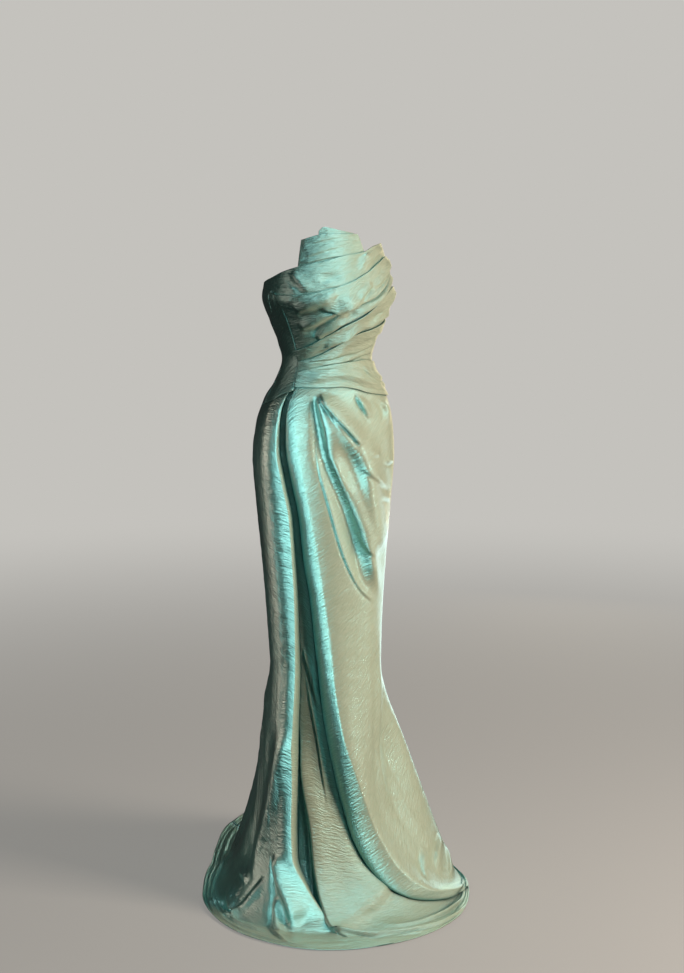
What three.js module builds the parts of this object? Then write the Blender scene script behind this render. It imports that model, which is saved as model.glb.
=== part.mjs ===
// A strapless evening gown of shot taffeta, filled out as it is worn: a draped bodice and sash,
// a wrapped skirt whose rolled edge sweeps to the hem, and a round train on the floor.
// Millimetres, +Z up. The origin is the centre of the waist, where the wearer holds the gown.
// The front looks along -Y and the wearer's left is +X.
//
// A place on the gown is a direction and a level. Directions are degrees round the body: 0 is the
// front, 90 the wearer's left, -90 the right. Levels are heights above the floor down to
// FLOOR_BREAK; below that the cloth turns outwards and lies down, and the level runs on to HEM.
import * as THREE from 'three';

const WAIST_HEIGHT = 1200; // waist above the floor
const WALL = 2.2; // taffeta with its backing
const SEAM_GAP = 0.35; // between the walls of two pieces that meet
const HIP_GAP = 1.2; // the same along the hip seam, whose two sides bend differently
const LAP = 1.4; // between two pieces that lie on each other
const FLOOR_BREAK = 30; // height at which the skirt turns onto the floor
const FLOOR_LIFT = 4; // upper face of the cloth that lies on the floor
const HEM = -100; // last level, the cut edge on the floor
const TRUNK_FOOT = 540; // below this the skirt spreads by the FLARE table
const CENTRE_BACK = 180;
const LEFT_SEAM = 96;
const RIGHT_ARM = -100; // where the upper drape ends under the right arm

const table = (columns, rows) => ({ columns, rows });

// Close-fitting body of the gown: half widths to the side, the front and the back.
const TRUNK = table(['level', 'side', 'front', 'back'], [
  [1500, 98, 108, 80],
  [1460, 110, 116, 84],
  [1400, 128, 128, 92],
  [1330, 142, 140, 101],
  [1281, 125, 118, 92],
  [1240, 110, 98, 72],
  [1200, 101, 87, 58],
  [1153, 117, 92, 78],
  [1119, 137, 98, 105],
  [1060, 153, 101, 140],
  [992, 158, 100, 160],
  [894, 151, 96, 154],
  [762, 139, 92, 140],
  [674, 132, 92, 133],
  [540, 124, 96, 120],
]);

// What the skirt adds to its last trunk section in each direction, down to the hem of the train.
const DIRECTIONS = [-180, -165, -150, -120, -90, -60, -30, 0, 30, 60, 72, 90, 120, 150, 165];
const FLARE = table(['level', ...DIRECTIONS], [
  [540, 0, 0, 0, 0, 0, 0, 0, 0, 0, 0, 0, 0, 0, 0, 0],
  [450, 26, 22, 18, 8, 5, 5, 5, 6, 5, 4, 2, 26, 35, 35, 32],
  [360, 58, 44, 32, 14, 8, 8, 10, 14, 10, 2, 2, 64, 82, 84, 74],
  [220, 128, 94, 68, 26, 16, 16, 20, 25, 18, 28, 54, 120, 148, 162, 155],
  [100, 205, 148, 110, 50, 36, 38, 42, 50, 58, 96, 126, 168, 212, 250, 262],
  [30, 272, 190, 145, 95, 80, 80, 80, 88, 108, 150, 168, 198, 246, 305, 345],
  [0, 335, 226, 166, 125, 112, 112, 118, 130, 150, 178, 190, 208, 272, 360, 425],
  [-100, 402, 276, 203, 156, 148, 165, 193, 204, 209, 203, 205, 213, 298, 425, 500],
]);

// Edges of the skirt panels in degrees, the depth of the groove between them, and how far the
// rolled edges stand out.
const SKIRT = table(['level', 'sideEdge', 'valley', 'wrapEdge', 'groove', 'roll'], [
  [1150, -66, -62, -57, 4, 0],
  [1090, -71, -66, -57, 8, 1],
  [1030, -71, -66, -55, 14, 2],
  [950, -67, -62, -50, 20, 2],
  [865, -62, -56, -44, 24, 3],
  [780, -61, -53, -37, 26, 3],
  [690, -60, -46, -30, 29, 4],
  [600, -60, -41, -23, 31, 5],
  [500, -60, -34, -18, 33, 7],
  [400, -61, -26, -10, 34, 10],
  [300, -60, -15, 4, 34, 13],
  [215, -59, -2, 16, 31, 17],
  [135, -55, 10, 27, 24, 19],
  [80, -42, 20, 34, 14, 20],
  [36, -30, 32, 43, 3, 18],
  [10, -22, 52, 61, 0, 14],
  [0, -17, 60, 67, 0, 11],
  [-100, 0, 70, 76, 0, 5],
]);

// Levels of the drape's folded edges in each direction, from the neckline to the foot of the sash.
const DRAPE = table(
  ['direction', 'neckline', 'upperFold', 'middleFold', 'lowerFold', 'sashTop', 'sashFoot'],
  [
    [-100, 1362, 1346, 1205, 1190, 1168, 1146],
    [-84, 1372, 1345, 1210, 1192, 1170, 1146],
    [-70, 1384, 1336, 1218, 1196, 1173, 1145],
    [-50, 1396, 1335, 1230, 1203, 1182, 1144],
    [-30, 1404, 1344, 1249, 1217, 1189, 1144],
    [-10, 1416, 1358, 1271, 1236, 1194, 1145],
    [10, 1423, 1379, 1292, 1256, 1197, 1140],
    [30, 1437, 1402, 1331, 1265, 1199, 1130],
    [50, 1442, 1414, 1350, 1275, 1196, 1124],
    [60, 1443, 1413, 1352, 1280, 1194, 1121],
    [75, 1424, 1396, 1348, 1284, 1192, 1117],
    [96, 1378, 1356, 1336, 1286, 1190, 1113],
  ],
);

// Upright seams of the right side, in degrees: where the drape is caught, and behind the bust.
const SIDE_SEAMS = table(['level', 'drape', 'back'], [
  [1400, -72, -84],
  [1346, -76, -84],
  [1309, -69, -84],
  [1251, -66, -98],
  [1203, -64, -96],
  [1150, -63, -94],
  [1090, -63, -92],
]);

// Top of the plain back, and the hip seam that joins it to the skirt, all the way round.
const BACK = table(['direction', 'top', 'hipSeam'], [
  [96, 1376, 1113],
  [130, 1330, 1108],
  [180, 1300, 1104],
  [230, 1316, 1105],
  [258, 1335.5, 1106],
  [276, 1335, 1115],
  [288, 1327, 1131],
  [297, 1323, 1138],
]);

// The stand-up panel in front of the neck and the loose flap behind it.
const PLASTRON = table(['direction', 'foot', 'top'], [
  [-55, 1378, 1449],
  [-31, 1386, 1460],
  [8, 1400, 1461],
  [14, 1404, 1428],
]);
const FLAP = table(['direction', 'foot', 'top'], [
  [-36, 1440, 1468],
  [-31, 1440, 1476],
  [-10, 1440, 1469],
  [6, 1440, 1463],
]);

// Largest folds of the skirt: height and width of each ridge, and its path in directions and levels.
const WRAP_FOLDS = [
  { name: 'upper hip pleat', height: 8, width: 15, path: [[-38, 1139], [-26, 1118], [-5, 1069], [34, 992]] },
  { name: 'middle hip pleat', height: 10, width: 15, path: [[-35, 1132], [-8, 1048], [6, 993], [44, 856]] },
  { name: 'long pleat', height: 11, width: 16,
    path: [[-38, 1111], [-24, 996], [0, 896], [36, 746], [61, 670]] },
  { name: 'hip loop', height: 10, width: 15, path: [[8, 1136], [25, 1104], [37, 1073]] },
  { name: 'knee fold', height: 5, width: 30, path: [[62, 560], [60, 400], [47, 250], [53, 150]] },
];
const UNDER_FOLDS = [
  { name: 'under pleat', height: -5, width: 14, path: [[-53, 600], [-44, 450], [-35, 368], [-23, 235]] },
  { name: 'hem break', height: 9, width: 22, path: [[-30, 210], [-24, 110], [-12, 40], [0, -40]] },
];
const SIDE_FOLDS = [
  { name: 'side ridge', height: 7, width: 26,
    path: [[-66, 400], [-76, 250], [-90, 130], [-98, 30], [-104, -60]] },
  { name: 'side break', height: -9, width: 20, path: [[-72, 150], [-62, 90], [-50, 20]] },
  { name: 'right train fold', height: 12, width: 34,
    path: [[-136, 430], [-148, 200], [-156, 30], [-159, -60]] },
];
const TRAIN_FOLDS = [
  { name: 'left train fold', height: 14, width: 40, path: [[116, 450], [122, 220], [128, 40], [131, -70]] },
  { name: 'inner train fold', height: 12, width: 36, path: [[150, 470], [154, 240], [158, 60], [160, -60]] },
];

const mix = (a, b, t) => a + (b - a) * t;
const ease = (t) => Math.sin((Math.PI / 2) * Math.min(Math.max(t, 0), 1));
const radians = THREE.MathUtils.degToRad;

/** Slope at each row that keeps a cubic from overshooting its rows. */
function slopes(x, y) {
  const step = x.slice(1).map((value, i) => (y[i + 1] - y[i]) / (value - x[i]));
  return x.map((_, i) => {
    if (i === 0) return step[0];
    if (i === x.length - 1) return step[i - 1];
    const [before, after] = [step[i - 1], step[i]];
    return before * after > 0 ? (2 * before * after) / (before + after) : 0;
  });
}

/** Smooth curve through (x, y), flat past both ends; x may rise or fall. */
function curve(x, y) {
  if (x[0] > x[x.length - 1]) return curve([...x].reverse(), [...y].reverse());
  const slope = slopes(x, y);
  return (value) => {
    const at = Math.min(Math.max(value, x[0]), x[x.length - 1]);
    let i = x.findIndex((edge) => edge > at) - 1;
    if (i < 0) i = x.length - 2;
    const span = x[i + 1] - x[i];
    const t = (at - x[i]) / span;
    return (2 * t ** 3 - 3 * t ** 2 + 1) * y[i] + (t ** 3 - 2 * t ** 2 + t) * span * slope[i]
      + (3 * t ** 2 - 2 * t ** 3) * y[i + 1] + (t ** 3 - t ** 2) * span * slope[i + 1];
  };
}

/** One smooth curve for each column of a table, along its first column. */
function curves({ columns, rows }) {
  const first = rows.map((row) => row[0]);
  const named = columns.slice(1).map((name, i) => [name, curve(first, rows.map((row) => row[i + 1]))]);
  return Object.fromEntries(named);
}

const trunk = curves(TRUNK);
const flare = curves(FLARE);
const skirt = curves(SKIRT);
const drape = curves(DRAPE);
const sideSeams = curves(SIDE_SEAMS);
const back = curves(BACK);
const plastron = curves(PLASTRON);
const flap = curves(FLAP);

/** Distance from the body's axis to the gown's outer face. */
function radius(direction, level) {
  const angle = radians(direction);
  const height = Math.max(level, TRUNK_FOOT);
  const depth = Math.cos(angle) > 0 ? trunk.front(height) : trunk.back(height);
  const body = 1 / Math.hypot(Math.sin(angle) / trunk.side(height), Math.cos(angle) / depth);
  return level < TRUNK_FOOT ? body + spread(direction, level) : body;
}

/** What the FLARE table adds: a curve round the body through the nearest four of its directions. */
function spread(direction, level) {
  const turned = ((((direction + 180) % 360) + 360) % 360) - 180;
  const count = DIRECTIONS.length;
  const next = DIRECTIONS.findIndex((column) => column > turned);
  const around = [-2, -1, 0, 1].map((offset) => (next < 0 ? count : next) + offset);
  const turns = around.map((i) => Math.floor(i / count));
  const nearest = around.map((i, k) => DIRECTIONS[i - turns[k] * count]);
  const added = curve(nearest.map((column, k) => column + 360 * turns[k]),
    nearest.map((column) => flare[column](level)));
  return added(turned);
}

/** A direction moved off a seam, so that half of the seam's gap is on this side of it. */
function offSeam(direction, level, side) {
  return direction + (side * THREE.MathUtils.radToDeg(SEAM_GAP / 2)) / radius(direction, level);
}

/** Height above the floor of a level: it runs out flat below FLOOR_BREAK. */
function height(level) {
  const t = Math.max(level, 0) / FLOOR_BREAK;
  return t > 1 ? level : FLOOR_LIFT + (FLOOR_BREAK - FLOOR_LIFT) * t ** 1.5;
}

function onForm(direction, level) {
  const angle = radians(direction);
  const out = radius(direction, level);
  return new THREE.Vector3(out * Math.sin(angle), -out * Math.cos(angle), height(level) - WAIST_HEIGHT);
}

/** Outward direction of a surface given as a function of two values, the second running down. */
function normalOf(surface, a, b, stepA, stepB) {
  const across = surface(a + stepA, b).sub(surface(a - stepA, b));
  const down = surface(a, b + stepB).sub(surface(a, b - stepB));
  return down.cross(across).normalize();
}

/** A point of the gown, lifted off its plain form along the form's own outward direction. */
function place(direction, level, lift) {
  const outward = normalOf((a, b) => onForm(a, -b), direction, -Math.max(level, HEM + 1), 1.5, 1);
  return onForm(direction, level).addScaledVector(outward, lift);
}

/** Height of a set of folds at one place: a soft ridge along each path, fading at both ends. */
function foldsAt(folds, direction, level) {
  const arc = radians(1) * radius(direction, level);
  let total = 0;
  for (const { height: ridge, width, path } of folds) {
    let nearest = Infinity;
    let along = 0;
    for (let i = 1; i < path.length; i += 1) {
      const [from, to] = [path[i - 1], path[i]];
      const [dx, dy] = [(to[0] - from[0]) * arc, to[1] - from[1]];
      const [px, py] = [(direction - from[0]) * arc, level - from[1]];
      const t = Math.min(Math.max((px * dx + py * dy) / (dx * dx + dy * dy), 0), 1);
      const distance = Math.hypot(px - t * dx, py - t * dy);
      if (distance < nearest) [nearest, along] = [distance, (i - 1 + t) / (path.length - 1)];
    }
    total += ridge * Math.exp(-((nearest / width) ** 2)) * (0.35 + 0.65 * Math.sin(Math.PI * along));
  }
  return total;
}

/** Evenly spaced values from 0 to end. */
const steps = (count, end = 1) => Array.from({ length: count + 1 }, (_, i) => (end * i) / count);

/** A wall of cloth: an outer face through surface(u, v), an inner face behind it, and four edges. */
function wall(name, material, us, vs, surface, thickness = WALL) {
  const outer = [];
  const inner = [];
  const [spanU, spanV] = [us[us.length - 1] - us[0], vs[vs.length - 1] - vs[0]];
  for (const v of vs) {
    for (const u of us) {
      const point = surface(u, v);
      const [nearU, nearV] = [
        Math.min(Math.max(u, us[0] + spanU * 0.004), us[us.length - 1] - spanU * 0.004),
        Math.min(Math.max(v, vs[0] + spanV * 0.004), vs[vs.length - 1] - spanV * 0.004),
      ];
      const outward = normalOf(surface, nearU, nearV, spanU * 0.004, spanV * 0.004);
      outer.push(point.x, point.y, point.z);
      point.addScaledVector(outward, -thickness);
      inner.push(point.x, point.y, point.z);
    }
  }
  const across = us.length;
  const count = us.length * vs.length;
  const index = [];
  const quad = (a, b, c, d) => index.push(a, b, c, a, c, d);
  for (let j = 0; j < vs.length - 1; j += 1) {
    for (let i = 0; i < across - 1; i += 1) {
      const corner = j * across + i;
      const below = corner + across;
      quad(corner, below, below + 1, corner + 1);
      quad(count + corner, count + corner + 1, count + below + 1, count + below);
    }
  }
  const rim = [
    ...steps(across - 1, across - 1),
    ...steps(vs.length - 1, vs.length - 1).slice(1).map((j) => j * across + across - 1),
    ...steps(across - 1, across - 1).slice(1).map((i) => count - 1 - i),
    ...steps(vs.length - 1, vs.length - 1).slice(1).map((j) => (vs.length - 1 - j) * across),
  ];
  for (let i = 0; i < rim.length - 1; i += 1) {
    quad(rim[i], rim[i + 1], rim[i + 1] + count, rim[i] + count);
  }
  const geometry = new THREE.BufferGeometry();
  geometry.setAttribute('position', new THREE.Float32BufferAttribute([...outer, ...inner], 3));
  geometry.setIndex(index);
  geometry.computeVertexNormals();
  const mesh = new THREE.Mesh(geometry, material);
  mesh.name = name;
  return mesh;
}

const taffeta = (color) => new THREE.MeshStandardMaterial({ color, roughness: 0.4, metalness: 0.2 });
const sage = taffeta(0xa3a98f);
const aqua = taffeta(0x8fd8d4);
const shade = taffeta(0x7f8a76);

const gown = new THREE.Group();
gown.name = 'evening_gown';

// ---------------------------------------------------------------- bodice

// Drape: strips with a folded upper edge, each lapping over the foot of the one above it.
const STEP = WALL + LAP; // how far a folded edge stands off the strip beneath it
const TUCK = 9; // how far a strip runs on under the next one
const SEAM_TUCK = 3; // the same where the strips crowd together at the side seam
const CROWDED = [-66, -40]; // directions between which the tuck grows
const SETTLE = 22; // a strip comes down from its fold to the form over this length
const BUST_COLUMNS = 20;
const tuckAt = (direction) => mix(SEAM_TUCK, TUCK,
  ease((direction - CROWDED[0]) / (CROWDED[1] - CROWDED[0])));

/** Direction and level that agree with each other where each depends on the other. */
function meet(directionAt, levelAt) {
  let level = levelAt(directionAt(WAIST_HEIGHT));
  for (let pass = 0; pass < 4; pass += 1) level = levelAt(directionAt(level));
  return [directionAt(level), level];
}

/** One strip of the drape. Its first row of panels is the lap, which keeps its height. */
function strip(name, material, { top, foot, rows, start, columnsCount = BUST_COLUMNS, rise, settle }) {
  const lapFoot = (at) => top(at) - tuckAt(at) - 2;
  gown.add(wall(name, material, steps(columnsCount), [0, ...steps(rows).map((v) => 1 + v)], (u, v) => {
    const [direction, level] = meet((at) => mix(start(at), offSeam(LEFT_SEAM, at, -1), u),
      (at) => (v < 1 ? mix(top(at), lapFoot(at), v) : mix(lapFoot(at), foot(at), v - 1)));
    return place(direction, level, mix(rise, 0, settle ? ease((lapFoot(direction) - level) / SETTLE) : 0));
  }));
}

const tucked = (line) => (direction) => line(direction) - tuckAt(direction);
const underArm = () => RIGHT_ARM;
const drapeSeam = (level) => offSeam(sideSeams.drape(level), level, 1);
const folded = { start: drapeSeam, rise: STEP, settle: true };
strip('swathe_upper', aqua, {
  start: underArm, top: drape.neckline, foot: tucked(drape.upperFold), rows: 3, rise: 0 });
strip('swathe_middle', sage, {
  ...folded, top: drape.upperFold, foot: tucked(drape.middleFold), rows: 5 });
strip('swathe_lower', aqua, {
  ...folded, top: drape.middleFold, foot: tucked(drape.lowerFold), rows: 4, columnsCount: 16 });
strip('midriff', sage, {
  ...folded, top: drape.lowerFold, foot: tucked(drape.sashTop), rows: 4, columnsCount: 16 });
strip('waist_sash', aqua, {
  ...folded, top: drape.sashTop, foot: drape.sashFoot, rows: 4, columnsCount: 16, settle: false });

// Stand-up panel and the loose flap behind it, inside the upper drape.
function upright(name, material, shape, directions, rows, depth) {
  const [from, to] = directions;
  gown.add(wall(name, material, steps(8), steps(rows), (u, v) => {
    const direction = mix(from, to, u);
    return place(direction, mix(shape.top(direction), shape.foot(direction), v), -depth);
  }));
}
upright('plastron_front', aqua, plastron, [-55, 14], 4, STEP + LAP);
upright('plastron_flap', sage, flap, [-36, 6], 2, 2 * (STEP + LAP));

// Plain panels of the right side and the back, down to the hip seam.
const turn = (direction) => (direction < LEFT_SEAM ? direction + 360 : direction);

function plainPanel(name, material, columnsCount, rows, from, to) {
  gown.add(wall(name, material, steps(columnsCount), steps(rows), (u, v) => {
    const [direction, level] = meet((at) => mix(from(at), to(at), u),
      (at) => mix(back.top(turn(at)), back.hipSeam(turn(at)) + HIP_GAP, v));
    return place(direction, level, 0);
  }));
}
const DRAPE_CLEARANCE = 7; // half gaps left where the stepped drape is caught
plainPanel('bodice_side_right', shade, 4, 10, (level) => offSeam(sideSeams.back(level), level, 1),
  (level) => offSeam(sideSeams.drape(level), level, -DRAPE_CLEARANCE));
plainPanel('bodice_back_right', shade, 8, 10, (level) => offSeam(-CENTRE_BACK, level, 1),
  (level) => offSeam(sideSeams.back(level), level, -1));
plainPanel('bodice_back_left', shade, 8, 10, (level) => offSeam(LEFT_SEAM, level, 1),
  (level) => offSeam(CENTRE_BACK, level, -1));

// ---------------------------------------------------------------- skirt

const WRAP_LEVELS = [1, 0.985, 0.965, 0.945, 0.92, 0.895, 0.865, 0.83, 0.79, 0.745, 0.69, 0.63, 0.565,
  0.5, 0.435, 0.375, 0.32, 0.27, 0.225, 0.185, 0.15, 0.125, 0.1, 0.08, 0.04, 0];
const levelFrom = (top, share) => mix(HEM, top, share);
const edgeLift = WALL + 1.8 * LAP; // a rolled edge rests this far above the panel under it
const UNDER_EDGE = 0.55; // share of the groove's depth at the side panel's edge

/** Outer face of the under panel: deepest along the wrap's groove, shallower by the side panel. */
function underLift(direction, level) {
  const [side, valley] = [skirt.sideEdge(level), skirt.valley(level)];
  const share = Math.min(Math.max((direction - side) / (valley - side), 0), 1);
  return -skirt.groove(level) * mix(UNDER_EDGE, 1, share) + foldsAt(UNDER_FOLDS, direction, level);
}

/** Lift of a rolled edge: from its tucked edge (t = 0) over the roll (t = 1) and down to the form. */
function rollLift(edge, crest, t, past) {
  return t < 1 ? mix(edge, crest, ease(t)) : crest * Math.exp(-((past / 45) ** 2));
}

// Wrap: gathered at the right waist, its rolled edge sweeping from there to the left of the hem.
const SASH_HOLD = 12; // the sash presses the pleats flat this far below its foot
const SASH_FADE = 16; // and they grow to their full height over this length
gown.add(wall('skirt_front_wrap', sage, [...steps(4), ...steps(18).slice(1).map((u) => 1 + u)],
  WRAP_LEVELS.map((share) => 1 - share), (u, v) => {
    const [direction, level] = meet((at) => (u < 1
      ? mix(skirt.valley(at), skirt.wrapEdge(at), u)
      : mix(skirt.wrapEdge(at), offSeam(LEFT_SEAM, at, -1), u - 1)),
    (at) => levelFrom(drape.sashFoot(at) + TUCK, 1 - v));
    const past = (direction - skirt.wrapEdge(level)) * radians(1) * radius(direction, level);
    const under = -skirt.groove(level) + foldsAt(UNDER_FOLDS, direction, level);
    const lift = rollLift(under + edgeLift, skirt.roll(level), u, past);
    const pleats = u > 1 ? foldsAt(WRAP_FOLDS, direction, level) : 0;
    const free = (drape.sashFoot(direction) - SASH_HOLD - level) / SASH_FADE;
    return place(direction, level, lift + pleats * ease(free));
  }));

// Under front: the panel seen between the side panel's edge and the wrap's rolled edge.
const UNDER_SIDE = 7; // degrees it runs on under the side panel
const UNDER_WRAP = 12; // and under the wrap
gown.add(wall('skirt_under_front', aqua, steps(10), WRAP_LEVELS.map((share) => 1 - share), (u, v) => {
  const level = levelFrom(1120, 1 - v);
  const direction = mix(skirt.sideEdge(level) - UNDER_SIDE, skirt.valley(level) + UNDER_WRAP, u);
  return place(direction, level, underLift(direction, level));
}));

// Right side and back, with a rounded front edge that rests on the under front.
const SIDE_ROLL = 8; // degrees from the tucked edge to the top of its roll
gown.add(wall('skirt_side_right', shade, [...steps(12).slice(0, -1), 1, 1.25, 1.5, 1.75, 2],
  WRAP_LEVELS.map((share) => 1 - share), (u, v) => {
    const [direction, level] = meet((at) => (u < 1
      ? mix(offSeam(-CENTRE_BACK, at, 1), skirt.sideEdge(at) - SIDE_ROLL, u)
      : mix(skirt.sideEdge(at) - SIDE_ROLL, skirt.sideEdge(at), u - 1)),
    (at) => levelFrom(back.hipSeam(turn(at)) - SEAM_GAP / 2, 1 - v));
    const edge = skirt.sideEdge(level);
    const past = (edge - SIDE_ROLL - direction) * radians(1) * radius(direction, level);
    const resting = underLift(edge, level) + edgeLift;
    const lift = rollLift(resting, skirt.roll(level) * 0.6, 2 - u, past);
    return place(direction, level, lift + foldsAt(SIDE_FOLDS, direction, level) * Math.min(2 - u, 1));
  }));

// Left back and the left half of the train.
gown.add(wall('skirt_back_left', shade, steps(10), WRAP_LEVELS.map((share) => 1 - share), (u, v) => {
  const [direction, level] = meet((at) => mix(offSeam(LEFT_SEAM, at, 1), offSeam(CENTRE_BACK, at, -1), u),
    (at) => levelFrom(back.hipSeam(turn(at)) - SEAM_GAP / 2, 1 - v));
  return place(direction, level, foldsAt(TRAIN_FOLDS, direction, level));
}));

export default gown;
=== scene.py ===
import math

import bmesh
import bpy
import numpy as np
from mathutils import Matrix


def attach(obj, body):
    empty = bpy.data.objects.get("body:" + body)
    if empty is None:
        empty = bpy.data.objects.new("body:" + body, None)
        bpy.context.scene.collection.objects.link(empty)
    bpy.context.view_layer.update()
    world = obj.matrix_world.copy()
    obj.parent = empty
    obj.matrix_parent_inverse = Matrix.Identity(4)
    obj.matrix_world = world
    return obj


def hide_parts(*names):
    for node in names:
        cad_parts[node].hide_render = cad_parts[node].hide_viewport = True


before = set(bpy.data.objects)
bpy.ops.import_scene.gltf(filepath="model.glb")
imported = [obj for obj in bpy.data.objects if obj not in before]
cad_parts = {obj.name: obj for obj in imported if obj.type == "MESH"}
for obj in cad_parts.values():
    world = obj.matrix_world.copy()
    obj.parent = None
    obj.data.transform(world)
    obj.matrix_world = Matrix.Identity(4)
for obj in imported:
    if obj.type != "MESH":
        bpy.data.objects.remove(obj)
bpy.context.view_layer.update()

# ---------------------------------------------------------------- studio
# A pale paper floor and cove. One warm softbox on the gown's left lights the cloth, and wide cool
# boxes round it give the gloss, so that the taffeta has broad highlights and dark folds.

MM = 0.001
FLOOR = -1.2  # the waist is 1.2 m above the floor


def add(nodes, kind, links=(), **settings):
    """A node with its settings, and each (socket, source) in links plugged in. A setting that is
    a socket's own value has the socket's name, with _ for a space."""
    node = nodes.new(kind)
    for key, value in settings.items():
        if hasattr(node, key):
            setattr(node, key, value)
        else:
            node.inputs[key.replace("_", " ")].default_value = value
    for socket, source in links:
        node.id_data.links.new(node.inputs[socket], source)
    return node


def colour(code):
    """An sRGB hex colour in linear light."""
    parts = [int(code[i:i + 2], 16) / 255 for i in (1, 3, 5)]
    return [c / 12.92 if c <= 0.04045 else ((c + 0.055) / 1.055) ** 2.4 for c in parts] + [1.0]


def softbox(name, place, aim, size, watts, tint):
    light = bpy.data.lights.new(name, "AREA")
    light.shape = "RECTANGLE"
    light.size, light.size_y = size
    light.energy = watts
    light.color = colour(tint)[:3]
    box = bpy.data.objects.new(name, light)
    bpy.context.scene.collection.objects.link(box)
    box.location = place
    toward = np.array(aim) - np.array(place)  # a lamp shines down its own -Z
    flat = math.hypot(toward[0], toward[1])
    box.rotation_euler = (math.atan2(flat, -toward[2]), 0, math.atan2(-toward[0], toward[1]))
    return box


key = softbox("key_left", (1.95, -2.45, 0.35), (0, 0, -0.35), (1.1, 1.1), 252, "#ffeddf")
key.visible_glossy = False  # it lights the cloth softly, and the wide boxes give the gloss
wrap_boxes = [
    softbox("wall_front_right", (-1.38, -1.08, -0.35), (0, 0, -0.4), (1.9, 1.6), 34, "#ecfcff"),
    softbox("low_front_right", (-0.75, -1.15, -1.1), (0, 0, 0), (1.3, 0.7), 3, "#b4f6f0"),
]
skirt_boxes = [
    softbox("wall_right", (-1.77, 0.94, -0.55), (0, 0, -0.5), (0.8, 1.25), 12, "#ffb8aa"),
    softbox("wall_front_left", (1.42, -1.11, -0.45), (0, 0, -0.5), (1.9, 1.5), 3.5, "#ffc8bc"),
    softbox("high_back", (0.8, 2.0, 1.3), (0.3, 0, -1.1), (1.2, 0.7), 7, "#ecfcff"),
    softbox("low_back_left", (1.6, 1.1, -0.95), (0.3, -0.1, -1.05), (1.4, 0.6), 5, "#ecfcff"),
    softbox("hip_left", (1.73, 1.35, 0.35), (0, 0, -0.1), (0.5, 0.35), 1.6, "#ecfcff"),
    softbox("hip_front", (1.29, -1.53, 0.05), (0, 0, -0.1), (0.9, 0.35), 3, "#ecfcff"),
    softbox("hem_front", (0.5, -1.9, 1.2), (0, 0, -1.1), (1.0, 0.5), 5.5, "#e0fbff"),
]
bodice_boxes = [
    softbox("bodice_high_right", (-1.7, -1.2, 1.3), (0, 0, 0.1), (1.4, 0.9), 10, "#ecfcff"),
    softbox("bodice_front", (-0.35, -1.97, 0.8), (0, 0, 0.2), (2.0, 0.55), 10, "#ecfcff"),
    softbox("bodice_low_front", (0.2, -1.6, -0.5), (0, 0, 0.1), (0.5, 0.8), 4, "#e0fcff"),
    softbox("bodice_low_right", (-0.9, -1.2, -0.7), (0, 0, 0.1), (0.9, 0.5), 2, "#b4f6f0"),
    softbox("bodice_right", (-1.9, 0.1, 0.2), (0, 0, 0.1), (0.7, 1.3), 5, "#ffc2b6"),
]
open_boxes = [
    softbox("high_front", (-0.3, -2.3, 1.9), (0, 0, -0.1), (2.2, 1.0), 15, "#ecfcff"),
    softbox("high_left", (1.9, -1.5, 1.2), (0, 0, -0.3), (1.4, 0.8), 5, "#ecfcff"),
    softbox("top", (0.1, -0.1, 2.7), (0, 0, -0.5), (1.5, 1.7), 30, "#ecfcff"),
]
# Each group of boxes shines on one part of the gown only; cloth() puts the pieces in.
outer_pieces, skirt_pieces, bodice_pieces = [bpy.data.collections.new(name) for name in
                                             ("outer_pieces", "skirt_pieces", "bodice_pieces")]
for boxes, pieces in ((wrap_boxes, outer_pieces), (skirt_boxes, skirt_pieces),
                      (bodice_boxes, bodice_pieces)):
    for box in boxes:
        box.light_linking.receiver_collection = pieces
gloss_boxes = wrap_boxes + skirt_boxes + bodice_boxes + open_boxes
rim = softbox("rim_left", (2.3, 2.2, 0.2), (0, 0, -0.3), (0.8, 2.3), 9, "#ffe2b4")
for box in gloss_boxes:
    box.visible_diffuse = False
for box in [key, rim] + gloss_boxes:
    box.visible_camera = False

world = bpy.data.worlds.new("studio")
bpy.context.scene.world = world
world.use_nodes = True
ambient = world.node_tree.nodes["Background"]
ambient.inputs["Color"].default_value = colour("#e4e6e6")
ambient.inputs["Strength"].default_value = 0.035

# Matt paper near the gown, where it takes the shadow, that turns evenly lit farther out (metres).
BACKDROP = colour("#c4c2bd")
paper = bpy.data.materials.new("studio_paper")
paper.use_nodes = True
nodes = paper.node_tree.nodes
paper_shader = nodes["Principled BSDF"]
paper_shader.inputs["Base Color"].default_value = colour("#949490")
paper_shader.inputs["Roughness"].default_value = 0.85
paper_place = add(nodes, "ShaderNodeTexCoord")
paper_reach = add(nodes, "ShaderNodeVectorMath", [(0, paper_place.outputs["Object"])], operation="LENGTH")
paper_far = add(nodes, "ShaderNodeMapRange", [("Value", paper_reach.outputs["Value"])],
                interpolation_type="SMOOTHSTEP", From_Min=1.4, From_Max=5.5, To_Min=0.45, To_Max=1.0)
paper_glow = add(nodes, "ShaderNodeEmission", Color=BACKDROP)
paper_mix = add(nodes, "ShaderNodeMixShader", [(0, paper_far.outputs["Result"]),
                                               (1, paper_shader.outputs["BSDF"]),
                                               (2, paper_glow.outputs["Emission"])])
paper.node_tree.links.new(nodes["Material Output"].inputs["Surface"], paper_mix.outputs["Shader"])
floor_mesh = bmesh.new()
bmesh.ops.create_grid(floor_mesh, x_segments=1, y_segments=1, size=14)  # metres, as is the cove
bmesh.ops.translate(floor_mesh, verts=floor_mesh.verts, vec=(0, 0, FLOOR))
floor_data = bpy.data.meshes.new("studio_floor")
floor_mesh.to_mesh(floor_data)
floor_data.materials.append(paper)
studio_floor = bpy.data.objects.new("studio_floor", floor_data)
bpy.context.scene.collection.objects.link(studio_floor)
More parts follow.
